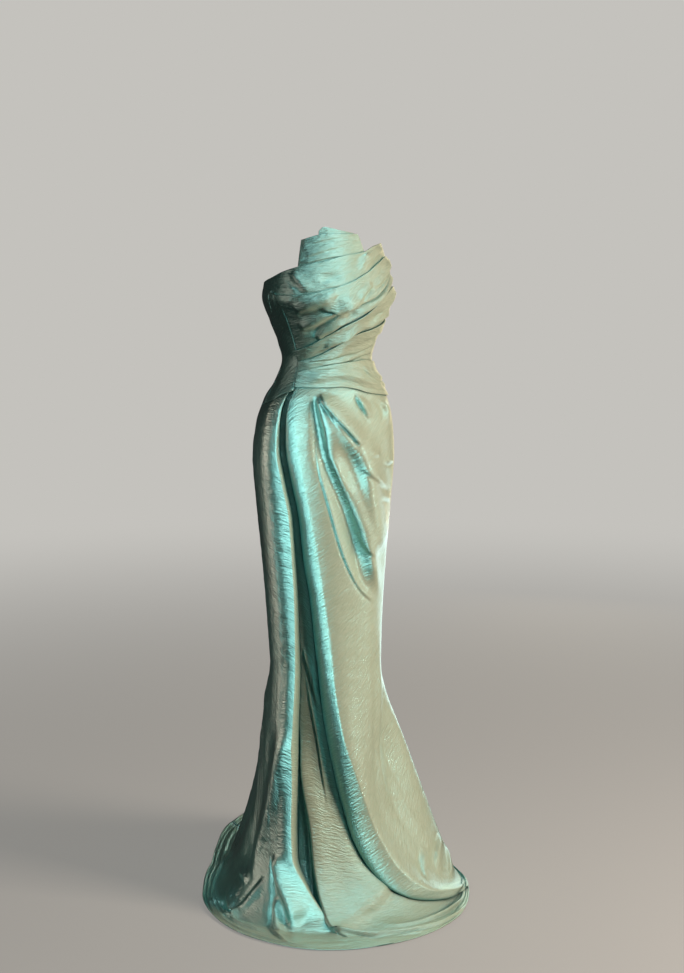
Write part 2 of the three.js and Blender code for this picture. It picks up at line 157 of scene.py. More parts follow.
# The gown would mirror the whole floor, so only the lights and the world show in it.
studio_floor.visible_diffuse = False
studio_floor.visible_glossy = False

cove_paint = bpy.data.materials.new("studio_cove_paint")
cove_paint.use_nodes = True
nodes = cove_paint.node_tree.nodes
nodes.remove(nodes["Principled BSDF"])
cove_glow = add(nodes, "ShaderNodeEmission", Color=BACKDROP)
cove_paint.node_tree.links.new(nodes["Material Output"].inputs["Surface"], cove_glow.outputs["Emission"])
cove_mesh = bmesh.new()
bmesh.ops.create_uvsphere(cove_mesh, u_segments=48, v_segments=24, radius=9)
cove_data = bpy.data.meshes.new("studio_cove")
cove_mesh.to_mesh(cove_data)
cove_data.materials.append(cove_paint)
studio_cove = bpy.data.objects.new("studio_cove", cove_data)
bpy.context.scene.collection.objects.link(studio_cove)
for ray in ("diffuse", "glossy", "shadow", "transmission", "volume_scatter"):
    setattr(studio_cove, "visible_" + ray, False)

TURN = math.radians(28)  # the camera stands this far round to the gown's right
TIP = math.radians(7.98)  # and looks down this much
REACH, ASIDE, EYE = 3.4, 0.034, 0.2
lens = bpy.data.cameras.new("camera")
lens.sensor_width = 36
lens.lens = 58.87
camera = bpy.data.objects.new("camera", lens)
bpy.context.scene.collection.objects.link(camera)
camera.location = (-REACH * math.sin(TURN) + ASIDE * math.cos(TURN),
                   -REACH * math.cos(TURN) - ASIDE * math.sin(TURN), EYE)
camera.rotation_euler = (math.pi / 2 - TIP, 0, -TURN)
bpy.context.scene.camera = camera
bpy.context.scene.view_settings.view_transform = "Standard"

# ---------------------------------------------------------------- skirt: front wrap
# The pleated front panel, cut in one with the wrap's rolled edge. It is gathered under the sash
# at the right waist, crosses the hips in long pleats, and its edge rolls under in a deep groove
# that sweeps to the left of the hem. Shot taffeta, sage crossed with aqua, hemmed by hand.

# A place on the gown is a direction in degrees round the body (0 the front, 90 the wearer's left)
# and a level in mm above the floor. Below FLOOR_BREAK the cloth turns outwards and lies down.
WAIST = 1200
FLOOR_BREAK, FLOOR_LIFT, HEM = 30, 4, -100
TRUNK_FOOT = 540  # lower down the trunk's section stays the same and the skirt flares from it
LEFT_SEAM = 96  # direction of the seam between the wrap and the left back
TRUNK = np.array([  # level, half width, front depth, back depth
    [1500, 98, 108, 80], [1460, 110, 116, 84], [1400, 128, 128, 92], [1330, 142, 140, 101],
    [1281, 125, 118, 92], [1240, 110, 98, 72], [1200, 101, 87, 58], [1153, 117, 92, 78],
    [1119, 137, 98, 105], [1060, 153, 101, 140], [992, 158, 100, 160], [894, 151, 96, 154],
    [762, 139, 92, 140], [674, 132, 92, 133], [540, 124, 96, 120]], float)
DIRECTIONS = [-180, -165, -150, -120, -90, -60, -30, 0, 30, 60, 72, 90, 120, 150, 165]
FLARE = np.array([  # level, then what the skirt adds in each direction
    [540, 0, 0, 0, 0, 0, 0, 0, 0, 0, 0, 0, 0, 0, 0, 0],
    [450, 26, 22, 18, 8, 5, 5, 5, 6, 5, 4, 2, 26, 35, 35, 32],
    [360, 58, 44, 32, 14, 8, 8, 10, 14, 10, 2, 2, 64, 82, 84, 74],
    [220, 128, 94, 68, 26, 16, 16, 20, 25, 18, 28, 54, 120, 148, 162, 155],
    [100, 205, 148, 110, 50, 36, 38, 42, 50, 58, 96, 126, 168, 212, 250, 262],
    [30, 272, 190, 145, 95, 80, 80, 80, 88, 108, 150, 168, 198, 246, 305, 345],
    [0, 335, 226, 166, 125, 112, 112, 118, 130, 150, 178, 190, 208, 272, 360, 425],
    [-100, 402, 276, 203, 156, 148, 165, 193, 204, 209, 203, 205, 213, 298, 425, 500]], float)
SKIRT = np.array([  # level, side panel's edge, groove, wrap's edge, groove depth, roll
    [1150, -66, -62, -57, 4, 0], [1090, -71, -66, -57, 8, 1], [1030, -71, -66, -55, 14, 2],
    [950, -67, -62, -50, 20, 2], [865, -62, -56, -44, 24, 3], [780, -61, -53, -37, 26, 3],
    [690, -60, -46, -30, 29, 4], [600, -60, -41, -23, 31, 5], [500, -60, -34, -18, 33, 7],
    [400, -61, -26, -10, 34, 10], [300, -60, -15, 4, 34, 13], [215, -59, -2, 16, 31, 17],
    [135, -55, 10, 27, 24, 19], [80, -42, 20, 34, 14, 20], [36, -30, 32, 43, 3, 18],
    [10, -22, 52, 61, 0, 14], [0, -17, 60, 67, 0, 11], [-100, 0, 70, 76, 0, 5]], float)
DRAPE = np.array([  # direction, neckline, upper, middle and lower fold, sash top and foot
    [-100, 1362, 1346, 1205, 1190, 1168, 1146], [-84, 1372, 1345, 1210, 1192, 1170, 1146],
    [-70, 1384, 1336, 1218, 1196, 1173, 1145], [-50, 1396, 1335, 1230, 1203, 1182, 1144],
    [-30, 1404, 1344, 1249, 1217, 1189, 1144], [-10, 1416, 1358, 1271, 1236, 1194, 1145],
    [10, 1423, 1379, 1292, 1256, 1197, 1140], [30, 1437, 1402, 1331, 1265, 1199, 1130],
    [50, 1442, 1414, 1350, 1275, 1196, 1124], [60, 1443, 1413, 1352, 1280, 1194, 1121],
    [75, 1424, 1396, 1348, 1284, 1192, 1117], [96, 1378, 1356, 1336, 1286, 1190, 1113]], float)
NECKLINE, UPPER, MIDDLE, LOWER, SASH_TOP, SASH_FOOT = range(6)


def limited(before, after):
    """Slope where two stretches meet, so that a cubic doesn't overshoot."""
    same = before * after > 0
    return np.where(same, 2 * before * after / np.where(same, before + after, 1), 0)


def cubic(t, span, y0, y1, m0, m1):
    return ((2 * t ** 3 - 3 * t ** 2 + 1) * y0 + (t ** 3 - 2 * t ** 2 + t) * span * m0
            + (3 * t ** 2 - 2 * t ** 3) * y1 + (t ** 3 - t ** 2) * span * m1)


def through(rows, at):
    """Every column of a table at many values of its first column, one row of results each."""
    rows = rows[np.argsort(rows[:, 0])]
    x, y = rows[:, 0], rows[:, 1:]
    step = np.diff(y, axis=0) / np.diff(x)[:, None]
    slope = np.vstack([step[:1], limited(step[:-1], step[1:]), step[-1:]])
    at = np.clip(np.ravel(at), x[0], x[-1])
    i = np.clip(np.searchsorted(x, at, side="right") - 1, 0, len(x) - 2)
    span = (x[i + 1] - x[i])[:, None]
    t = (at - x[i])[:, None] / span
    return cubic(t, span, y[i], y[i + 1], slope[i], slope[i + 1])


def form_radius(direction, level):
    """Distance in mm from the body's axis to the gown's plain outer face."""
    side, front, back = through(TRUNK, np.maximum(level, TRUNK_FOOT)).T
    s, c = np.sin(np.radians(direction)), np.cos(np.radians(direction))
    body = 1 / np.hypot(s / side, c / np.where(c > 0, front, back))
    flare = through(FLARE, level)
    flare = np.hstack([flare[:, -2:], flare, flare[:, :3]])
    x = np.array([d - 360 for d in DIRECTIONS[-2:]] + DIRECTIONS + [d + 360 for d in DIRECTIONS[:3]])
    turned = (direction + 180) % 360 - 180
    i, n = np.searchsorted(x, turned, side="right") - 1, np.arange(len(turned))
    step = [(flare[n, i + k + 1] - flare[n, i + k]) / (x[i + k + 1] - x[i + k]) for k in (-1, 0, 1)]
    span = x[i + 1] - x[i]
    return body + cubic((turned - x[i]) / span, span, flare[n, i], flare[n, i + 1],
                        limited(step[0], step[1]), limited(step[1], step[2]))


def on_form(direction, level):
    out = form_radius(direction, level)
    t = np.maximum(level, 0) / FLOOR_BREAK
    high = np.where(t > 1, level, FLOOR_LIFT + (FLOOR_BREAK - FLOOR_LIFT) * t ** 1.5)
    angle = np.radians(direction)
    return np.stack([out * np.sin(angle), -out * np.cos(angle), high - WAIST], 1)


def placed(direction, level, lift):
    """Points in mm, lifted off the plain form along its own outward direction."""
    inner = np.maximum(level, HEM + 1)
    across = on_form(direction + 0.5, inner) - on_form(direction - 0.5, inner)
    up = on_form(direction, inner + 1) - on_form(direction, inner - 1)
    outward = np.cross(across, up)
    outward /= np.linalg.norm(outward, axis=1)[:, None]
    return on_form(direction, level) + outward * lift[:, None]


def fade(t):
    """0 to 1 and level at both ends."""
    t = np.clip(t, 0, 1)
    return t * t * (3 - 2 * t)


def fold(path, height, steep, gentle, lean=0.5, start=0.1, end=0.6, narrow=0.35):
    """A crease drawn from its gathered end. Its steep side is on the right of that way (on the
    left if gentle < 0); narrow is its width at the gathered end, as a share of the rest."""
    return {"path": path, "height": height, "steep": steep, "gentle": gentle, "lean": lean,
            "start": start, "end": end, "narrow": narrow}


def smooth_path(path, per_row=5):
    points = np.array(path, float)
    rows = np.column_stack([np.arange(len(points)), points])
    return through(rows, np.linspace(0, len(points) - 1, per_row * (len(points) - 1) + 1))


def folded(folds, direction, level, radius):
    """Lift of all folds at each place, and how far they pull the cloth along and up, in mm."""
    lift, along, up = np.zeros_like(level), np.zeros_like(level), np.zeros_like(level)
    arc = np.radians(1) * radius
    for crease in folds:
        path = smooth_path(crease["path"])
        steep, gentle = crease["steep"], abs(crease["gentle"])
        reach = 3 * max(steep, gentle) + 10
        close = (level > path[:, 1].min() - reach) & (level < path[:, 1].max() + reach)
        if not close.any():
            continue
        x, y, scale = direction[close], level[close], arc[close]
        off = np.full(close.sum(), 1e9)
        side, place, normal_x, normal_y = (np.zeros(close.sum()) for _ in range(4))
        for k in range(len(path) - 1):
            dx, dy = (path[k + 1, 0] - path[k, 0]) * scale, path[k + 1, 1] - path[k, 1]
            px, py = (x - path[k, 0]) * scale, y - path[k, 1]
            long = np.hypot(dx, dy)
            t = np.clip((px * dx + py * dy) / long ** 2, 0, 1)
            apart = np.hypot(px - t * dx, py - t * dy)
            closer = apart < off
            off = np.where(closer, apart, off)
            side = np.where(closer, np.sign(px * dy - py * dx), side)  # 1 right of the way
            place = np.where(closer, (k + t) / (len(path) - 1), place)
            normal_x = np.where(closer, dy / long, normal_x)
            normal_y = np.where(closer, -dx / long, normal_y)
        hand = np.sign(crease["gentle"])
        on_steep = side * hand > 0
        taper = crease["narrow"] + (1 - crease["narrow"]) * fade(place / 0.35)
        width = np.where(on_steep, steep, gentle) * taper
        last = crease["end"]
        strength = fade(place / crease["start"]) * (1 - fade((place - last) / (1 - last))) * taper
        ridge = np.exp(-(off / width) ** 2)
        dip = np.where(on_steep, np.exp(-((off / width - 1.9) / 0.8) ** 2), 0)
        lift[close] += crease["height"] * strength * (ridge - 0.35 * dip)
        pull = crease["lean"] * abs(crease["height"]) * strength * ridge * hand
        along[close] += pull * normal_x
        up[close] += pull * normal_y
    return lift, along, up


def crumple(direction, level, size, amount, seed):
    """Soft uneven ripples about size mm apart and amount mm high, wider round the body than up."""
    girth_radius, waves, most_tilt, any_phase, even_out = 130, 14, 0.6, 6.28, 3.7
    dice = np.random.default_rng(seed)
    x, y = np.radians(direction) * girth_radius, level
    total = np.zeros_like(level)
    for _ in range(waves):
        turn, length = dice.uniform(-most_tilt, most_tilt), size * dice.uniform(0.6, 1.8)
        wave = (x * np.sin(turn) * 0.5 + y * np.cos(turn)) * 2 * np.pi / length
        phase = dice.uniform(0, any_phase)
        total += np.sin(wave + phase + 1.4 * np.sin(x / (2.2 * size) + dice.uniform(0, any_phase)))
    return amount * total / even_out


def lying(direction, level, seed):
    """The looser ripples of the cloth that lies on the ground."""
    return crumple(direction, level, 34, 1.0, seed) * fade((60 - level) / 90)


def taffeta(name, tint="#a5a692", cross="#949883"):
    """Shot silk taffeta: sage warp, aqua weft. The weft gives its mirror-like aqua highlights,
    and its uneven thick threads break their edges into short level strokes."""
    material = bpy.data.materials.new(name)
    material.use_nodes = True
    nodes = material.node_tree.nodes
    shader = nodes["Principled BSDF"]
    shader.inputs["Roughness"].default_value = 0.3
    shader.inputs["IOR"].default_value = 2.3
    shader.inputs["Specular IOR Level"].default_value = 0.95
    shader.inputs["Specular Tint"].default_value = colour("#78fbf4")
    shader.inputs["Anisotropic"].default_value = 0.35
    shader.inputs["Coat Weight"].default_value = 0.9
    shader.inputs["Coat IOR"].default_value = 1.9
    shader.inputs["Coat Roughness"].default_value = 0.22
    shader.inputs["Coat Tint"].default_value = colour("#f4fffb")
    shader.inputs["Sheen Weight"].default_value = 0.12
    shader.inputs["Sheen Roughness"].default_value = 0.4
    shader.inputs["Sheen Tint"].default_value = colour("#efe6cf")
    cloth_map = add(nodes, "ShaderNodeUVMap", uv_map="cloth")
    # Slub: thick threads about 20 mm long. They are drawn 4 mm apart, as closer ones would not show.
    # The map is in metres.
    slub_map = add(nodes, "ShaderNodeMapping", [("Vector", cloth_map.outputs["UV"])], Scale=(52, 240, 1))
    slub = add(nodes, "ShaderNodeTexNoise", [("Vector", slub_map.outputs["Vector"])],
               Scale=1.0, Detail=3.0, Roughness=0.6)
    # Crush: soft dents 25 mm across, from wear and packing.
    crush_map = add(nodes, "ShaderNodeMapping", [("Vector", cloth_map.outputs["UV"])], Scale=(24, 60, 1))
    crush = add(nodes, "ShaderNodeTexNoise", [("Vector", crush_map.outputs["Vector"])],
                Scale=1.0, Detail=2.0, Roughness=0.5, Distortion=0.4)
    # Weave: the ribs of the weft, drawn 1.6 mm apart because the real 0.3 mm would not show.
    rib_map = add(nodes, "ShaderNodeMapping", [("Vector", cloth_map.outputs["UV"])], Scale=(30, 620, 1))
    rib = add(nodes, "ShaderNodeTexNoise", [("Vector", rib_map.outputs["Vector"])],
              Scale=1.0, Detail=1.0, Roughness=0.5)
    fine = add(nodes, "ShaderNodeBump", [("Height", rib.outputs["Fac"])], Strength=0.3, Distance=0.0004)
    mid = add(nodes, "ShaderNodeBump", [("Height", slub.outputs["Fac"]), ("Normal", fine.outputs["Normal"])],
              Strength=0.9, Distance=0.002)
    soft = add(nodes, "ShaderNodeBump", [("Height", crush.outputs["Fac"]), ("Normal", mid.outputs["Normal"])],
               Strength=0.26, Distance=0.004)
    shade = add(nodes, "ShaderNodeValToRGB", [("Fac", slub.outputs["Fac"])])
    shade.color_ramp.elements[0].position, shade.color_ramp.elements[1].position = 0.3, 0.7
    shade.color_ramp.elements[0].color = colour(cross)
    shade.color_ramp.elements[1].color = colour(tint)
    # Painted shade: in the depths of the folds, within 130 mm of other cloth, the occlusion node paints the
    # colour darker, towards dark green, and the cloth is made duller.
    depth = add(nodes, "ShaderNodeAmbientOcclusion", samples=6, Distance=0.13)
    unshaded_share = add(nodes, "ShaderNodeMapRange", [("Value", depth.outputs["AO"])],
                     interpolation_type="SMOOTHSTEP", From_Min=0.32, From_Max=0.9)
    factor, painted_shade_socket, bare = 0, 6, 7  # the colour mix's sockets
    body = add(nodes, "ShaderNodeMix",
               [(factor, unshaded_share.outputs["Result"]), (bare, shade.outputs["Color"])], data_type="RGBA")
    # painted shade colour, dark green, laid into the fold depths where the occlusion is high
    body.inputs[painted_shade_socket].default_value = colour("#141f15")
    dull = add(nodes, "ShaderNodeMapRange", [("Value", unshaded_share.outputs["Result"])],
               To_Min=0.8, To_Max=0.3)
    material.node_tree.links.new(shader.inputs["Base Color"], body.outputs[2])
    material.node_tree.links.new(shader.inputs["Roughness"], dull.outputs["Result"])
    material.node_tree.links.new(shader.inputs["Normal"], soft.outputs["Normal"])
    material.node_tree.links.new(shader.inputs["Coat Normal"], soft.outputs["Normal"])
    return material


def cloth(name, node, columns, rows, shape, material, thick=1.1):
    """A piece of cloth: a grid whose squares run across and up, bent by shape(across, up). It
    rides on the gown's one body, stands for its node, and maps its points to their places on the flat cloth."""
    sheet = bmesh.new()
    bmesh.ops.create_grid(sheet, x_segments=columns, y_segments=rows, size=0.5)
    square = np.array([v.co[:2] for v in sheet.verts]) + 0.5
    points = shape(square[:, 0], square[:, 1]) * MM
    for vert, point in zip(sheet.verts, points):
        vert.co = point
    laid = points.reshape(rows + 1, columns + 1, 3)
    beside = np.linalg.norm(np.diff(laid, axis=1), axis=2)
    above = np.linalg.norm(np.diff(laid, axis=0), axis=2)
    cut = np.zeros((rows + 1, columns + 1, 2))  # each point's place on the flat cloth, in metres
    cut[:, 1:, 0] = beside.cumsum(1)
    cut[1:, :, 1] = above.cumsum(0)
    cut = cut.reshape(-1, 2)
    sheet.verts.index_update()
    layer = sheet.loops.layers.uv.new("cloth")
    for face in sheet.faces:
        face.smooth = True
        for loop in face.loops:
            loop[layer].uv = cut[loop.vert.index]
    data = bpy.data.meshes.new(name)
    sheet.to_mesh(data)
    sheet.free()
    data.materials.append(material)
    piece = bpy.data.objects.new(name, data)
    bpy.context.scene.collection.objects.link(piece)
    wall = piece.modifiers.new("wall", "SOLIDIFY")
    wall.thickness = thick * MM
    wall.offset = -1
    (skirt_pieces if node.startswith("skirt") else bodice_pieces).objects.link(piece)
    if node in ("skirt_front_wrap", "skirt_side_right", "skirt_back_left"):
        outer_pieces.objects.link(piece)
    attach(piece, "root")
    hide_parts(node)
    return piece


taffeta_skirt = taffeta("shot_silk_taffeta")
EDGE_REST = 3.2  # mm from one panel's face to the face of a rolled edge that rests on it
SIDE_DEPTH = 0.75  # share of the groove's depth at the side panel's edge
CREST = 45  # mm past a rolled edge over which it settles back on the form
TUCK = 9  # mm that the wrap runs on under the sash


def under_face(direction, level):
    """Lift of the under panel: deepest along the wrap's groove, shallower by the side panel."""
    side, valley, _, groove, _ = through(SKIRT, level).T
    share = np.clip((direction - side) / (valley - side), 0, 1)
    return -groove * (SIDE_DEPTH + (1 - SIDE_DEPTH) * share)


WRAP_PLEATS = [  # pleats from the gather at the right waist to the left hip, top one first
    fold([(-38, 1140), (-24, 1113), (-6, 1077), (8, 1050), (19, 1025)], 8, 5, 16, end=0.8),
    fold([(-34, 1128), (-27, 1113), (-16, 1081), (0, 1047)], 4, 3, 9, end=0.6),
    fold([(-38, 1139), (-22, 1105), (-3, 1056), (19, 1008), (28, 975), (34, 914), (49, 819), (56, 770)],
         22, 26, 34, end=0.8),
    fold([(-37, 1132), (-33, 1105), (-25, 1061), (-18, 1015), (-8, 971), (7, 914), (21, 856),
          (34, 802), (43, 747), (56, 686)], 17, 17, 20, end=0.85),
    fold([(-38, 1078), (-36, 999), (-24, 900), (-4, 790), (20, 716), (50, 670)],
         3.5, 3, 9, start=0.3, end=0.85, narrow=0.8),
    fold([(8, 1137), (16, 1122), (22, 1104), (34, 1068)], 8, 5, 13, end=0.7),
    fold([(30, 1134), (48, 1124), (60, 1092), (54, 1056)], 7, 9, 16, end=0.7),
    fold([(25, 1012), (36, 1004), (46, 996)], 3, 4, 9, start=0.4, narrow=1),
    fold([(50, 988), (62, 980), (74, 982)], 4, 5, 12, start=0.4, narrow=1),
    fold([(14, 985), (30, 966), (46, 942), (66, 916)], 4, 5, 14, start=0.4, narrow=1),
    fold([(46, 914), (58, 902), (70, 894)], 3, 4, 10, start=0.4, narrow=1),
    fold([(17, 846), (30, 802), (44, 780)], 3, 3, 10, start=0.4, narrow=1),
    fold([(62, 660), (60, 500), (56, 400), (51, 270), (48, 160)], 4, 14, 22, start=0.3, end=0.7,
         narrow=1),
    fold([(86, 106), (72, 84), (60, 52)], 6, 7, 12, start=0.3, narrow=1),
    fold([(66, 110), (55, 74), (47, 40)], 5, 6, 12, start=0.3, narrow=1),
    fold([(90, 72), (76, 44), (64, 22)], 5, 6, 12, start=0.3, narrow=1),
]


def wrap_shape(across, up):
    roll = 0.14  # share of the columns that make the rolled edge
    turn = np.clip(across / roll, 0, 1) * np.pi / 2
    main = np.clip((across - roll) / (1 - roll), 0, 1)
    waist_edge = -57
    direction = waist_edge + main * (LEFT_SEAM - waist_edge)
    for _ in range(4):  # the top's level depends on the direction, and the direction on the level
        top = through(DRAPE, direction)[:, SASH_FOOT] + TUCK
        level = HEM + (top - HEM) * up
        _, valley, crest, groove, rise = through(SKIRT, level).T
        direction = np.where(across < roll, valley + (crest - valley) * (1 - np.cos(turn)),
                             crest + (LEFT_SEAM - 0.1 - crest) * main)
    radius = form_radius(direction, level)
    past = (direction - crest) * np.radians(1) * radius
    edge = under_face(valley, level) + EDGE_REST
    steady = 0.35 + 0.6 * fade((640 - level) / 250)  # lower down the edge is a straight, sharp wall
    slope = (1 - steady) * np.sin(turn) + steady * turn / (np.pi / 2)
    lift = np.where(across < roll, edge + (rise - edge) * slope, rise * np.exp(-(past / CREST) ** 2))
    pleats, along, rise_up = folded(WRAP_PLEATS, direction, level, radius)
    free = fade((top - 17 - level) / 14) * fade(across / roll - 0.6)
    lift += pleats * free + crumple(direction, level, 40, 0.15, 3) + lying(direction, level, 13)
    return placed(direction + np.degrees(along * free / radius), level + rise_up * free, lift)


cloth("skirt_wrap_cloth", "skirt_front_wrap", 140, 330, wrap_shape, taffeta_skirt)

# ---------------------------------------------------------------- skirt: under front
# The taffeta panel seen in the groove beside the wrap's edge. It hangs from the waist, its sides
# run on under the wrap and the side panel, and its hem spreads over the floor in front.

UNDER_TOP = 1152  # its level at the waist, just above the sash's foot
UNDER_PLEATS = [
    fold([(-57, 590), (-50, 548), (-42, 500), (-37, 460)], 5, 4, 9, start=0.2, end=0.7, narrow=0.8),
    fold([(-55, 540), (-44, 452), (-35, 368), (-30, 308), (-23, 232)], 4, 3, 6, start=0.2, end=0.7,
         narrow=0.8),
    fold([(-60, 420), (-53, 304), (-41, 202), (-34, 103), (-26, 33), (-20, 3), (-12, -60)],
         15, 10, 34, start=0.15, end=0.8, narrow=0.5),
    fold([(-38, 90), (-33, 37), (-25, 12), (-18, -30)], 7, 4, 7, start=0.3, end=0.7, narrow=0.8),
    fold([(30, 84), (16, 66), (-4, 40), (-22, 12)], 9, 16, -30, start=0.3, end=0.7, narrow=0.8),
    fold([(-29, 16), (-22, -30), (-16, -80), (-12, -100)], 4, 4, 8, start=0.3, end=0.9, narrow=0.8),
    fold([(-26, 18), (-9, -14), (12, -40), (36, -62)], 5, 7, 12, start=0.2, end=0.8, narrow=0.8),
    fold([(-12, 22), (12, -6), (34, -24), (58, -40)], 4, 6, 10, start=0.3, end=0.8, narrow=0.8),
    fold([(-24, 6), (0, -40), (20, -80)], 4, 5, 8, start=0.3, end=0.8, narrow=0.8),
    fold([(-26, 10), (2, -30), (32, -70), (52, -95)], 5, 6, 9, start=0.2, end=0.8, narrow=0.8),
    fold([(-4, 25), (26, -12), (62, -46)], 5, 6, 10, start=0.3, end=0.8, narrow=0.8),
    fold([(-34, 30), (-30, -20), (-26, -70), (-24, -98)], 6, 8, 12, start=0.3, end=0.9, narrow=0.8),
]


def under_shape(across, up):
    level = HEM + (UNDER_TOP - HEM) * up
    side, valley, _, _, _ = through(SKIRT, level).T
    direction = side - 7 + (valley + 12 - side + 7) * across  # it runs on past both edges
    radius = form_radius(direction, level)
    pleats, along, rise = folded(UNDER_PLEATS, direction, level, radius)
    lift = under_face(direction, level) + pleats + crumple(direction, level, 34, 0.2, 5)
    lift += lying(direction, level, 15)
    return placed(direction + np.degrees(along / radius), level + rise, lift)


cloth("skirt_under_cloth", "skirt_under_front", 70, 300, under_shape, taffeta_skirt)

# ---------------------------------------------------------------- skirt: right side and back
# One taffeta panel from its rounded front edge, folded under and laid beside the groove, round
# to the centre back, with half of the train. It is sewn to the bodice along the hip seam.

HIP_SEAM = np.array([  # direction, level of the seam that joins the bodice's backs to the skirt
    [96, 1113], [130, 1108], [180, 1104], [230, 1105], [258, 1106], [276, 1115], [288, 1131],
    [297, 1138]], float)
SIDE_ROLL = 2.2  # degrees taken up by the rounded front edge
SIDE_RISE = 0.6  # its height as a share of the wrap's roll
CENTRE_BACK = -179.9
SIDE_PLEATS = [
    fold([(-68, 420), (-82, 293), (-94, 189), (-100, 126), (-96, 73), (-92, 30)], 9, 26, 22, lean=0.2,
         narrow=1),
    fold([(-76, 140), (-64, 87), (-52, 47), (-44, 10)], 15, 11, 20, start=0.15, end=0.8, narrow=0.6),
    fold([(-119, 61), (-104, 63), (-95, 48)], 7, 5, 7, start=0.3, narrow=1),
    fold([(-117, 34), (-95, 12), (-81, -10)], 9, 7, 10, start=0.3, narrow=0.8),
    fold([(-67, 80), (-60, 29), (-54, 4), (-50, -30)], 8, 6, 10, start=0.3, narrow=0.8),
    fold([(-62, 20), (-55, -15), (-43, -87)], 5, 4, 8, start=0.3, narrow=0.8),
    fold([(-80, 90), (-84, 40), (-90, -10), (-96, -60)], 6, 9, 12, start=0.3, narrow=0.8),
    fold([(-104, 20), (-108, -20), (-112, -80)], 5, 9, 14, start=0.3, narrow=0.8),
    fold([(-136, 430), (-148, 200), (-156, 30), (-159, -60)], 12, 34, 26, lean=0.2, narrow=1),
    fold([(-120, 520), (-126, 300), (-132, 120), (-136, 0)], 7, 26, 30, lean=0.2, narrow=1),
]


def side_shape(across, up):
    roll = 0.86  # share of the columns before the rounded edge
    main = np.clip(across / roll, 0, 1)
    turn = np.clip((1 - across) / (1 - roll), 0, 1) * np.pi / 2
    direction = CENTRE_BACK + main * 100
    for _ in range(4):
        top = through(HIP_SEAM, direction + 360)[:, 0]
        level = HEM + (top - HEM) * up
        side, _, _, _, rise = through(SKIRT, level).T
        crest = side - SIDE_ROLL
        direction = np.where(across > roll, side - SIDE_ROLL * (1 - np.cos(turn)),
                             CENTRE_BACK + (crest - CENTRE_BACK) * main)
    radius = form_radius(direction, level)
    past = (crest - direction) * np.radians(1) * radius
    edge = under_face(side, level) + EDGE_REST
    rise = rise * SIDE_RISE
    lift = np.where(across > roll, edge + (rise - edge) * np.sin(turn), rise * np.exp(-(past / CREST) ** 2))
    pleats, along, rise_up = folded(SIDE_PLEATS, direction, level, radius)
    free = fade(turn / (np.pi / 2))
    lift += pleats * free + crumple(direction, level, 30, 0.25, 7) + lying(direction, level, 17)
    return placed(direction + np.degrees(along * free / radius), level + rise_up * free, lift)


cloth("skirt_side_cloth", "skirt_side_right", 130, 300, side_shape, taffeta_skirt)

# ---------------------------------------------------------------- skirt: left back
# The left back panel of taffeta with the other half of the train. It is sewn to the wrap at the
# left side, to the right side's panel at the centre back, and to the bodice along the hip seam.

BACK_PLEATS = [
    fold([(116, 450), (122, 220), (128, 40), (131, -70)], 14, 40, 30, lean=0.2, narrow=1),
    fold([(150, 470), (154, 240), (158, 60), (160, -60)], 12, 36, 28, lean=0.2, narrow=1),
    fold([(136, 380), (139, 180), (143, 20), (146, -80)], 7, 22, 26, lean=0.2, start=0.3, narrow=1),
    fold([(170, 520), (171, 300), (172, 120), (173, 0)], 6, 22, 24, lean=0.2, start=0.3, narrow=1),
]


def back_shape(across, up):
    direction = LEFT_SEAM + 0.1 + (180 - LEFT_SEAM - 0.2) * across
    level = HEM + (through(HIP_SEAM, direction)[:, 0] - HEM) * up
    radius = form_radius(direction, level)
    pleats, along, rise = folded(BACK_PLEATS, direction, level, radius)
    lift = pleats + crumple(direction, level, 40, 0.25, 9) + lying(direction, level, 19)
    return placed(direction + np.degrees(along / radius), level + rise, lift)


cloth("skirt_back_cloth", "skirt_back_left", 90, 280, back_shape, taffeta_skirt)

# ---------------------------------------------------------------- bodice: drape and sash
# Five strips of taffeta laid round the body, each folded along its top edge and lapped over the
# foot of the one above. They crowd together at the right side seam and fan out to the left.

SIDE_SEAMS = np.array([  # level, seam that catches the drape, seam behind it
    [1400, -72, -84], [1346, -76, -84], [1309, -69, -84], [1251, -66, -98], [1203, -64, -96],
    [1150, -63, -94], [1090, -63, -92]], float)
RIGHT_ARM = -100
LAP = 9  # how far a strip runs on under the next
STEP = 4.2  # how far a folded edge stands off the strip beneath it
TURN_IN = 1.6  # radius of the folded edge
SETTLE = 26  # how far down a strip lies back on the form again
CRISP = 1.3  # the strips' folds stand this much prouder than their listed heights


def strip(name, node, top_line, foot_line, creases, columns, rows, seam=True, rise=STEP, settle=True,
          lap=LAP, seed=1):
    def shape(across, up):
        hidden, bend = 2, 8  # rows behind the fold, and rows to the end of its bend
        down = (1 - up) * rows
        direction = np.zeros_like(across)
        start = np.full_like(across, RIGHT_ARM)
        for _ in range(4):
            lines = through(DRAPE, direction)
            top, foot = lines[:, top_line], lines[:, foot_line] - lap
            angle = np.clip((down - hidden) / (bend - hidden), 0, 1) * np.pi
            face = np.clip((down - bend) / (rows - bend), 0, 1)
            level = top - TURN_IN + TURN_IN * np.sin(angle)
            level = level - 6 * np.clip(1 - down / hidden, 0, 1) - face * (top - TURN_IN - foot)
            if seam:
                start = through(SIDE_SEAMS, level)[:, 0] + 0.1
            direction = start + (LEFT_SEAM - 0.1 - start) * across
        radius = form_radius(direction, level)
        fold_lift, along, pull = folded(creases, direction, level, radius)
        drop = top - TURN_IN - level
        settled = fade((drop - LAP) / SETTLE) if settle else 0
        lift = rise * (1 - settled) - TURN_IN * (1 + np.cos(angle))
        free = fade(drop / 8) * fade((level - foot) / 10)
        lift = lift + CRISP * fold_lift * free + crumple(direction, level, 20, 0.15, seed) * fade(drop / 6)
        return placed(direction + np.degrees(along * free / radius), level + pull * free, lift)

    cloth(name, node, columns, rows, shape, taffeta_skirt, thick=0.8)


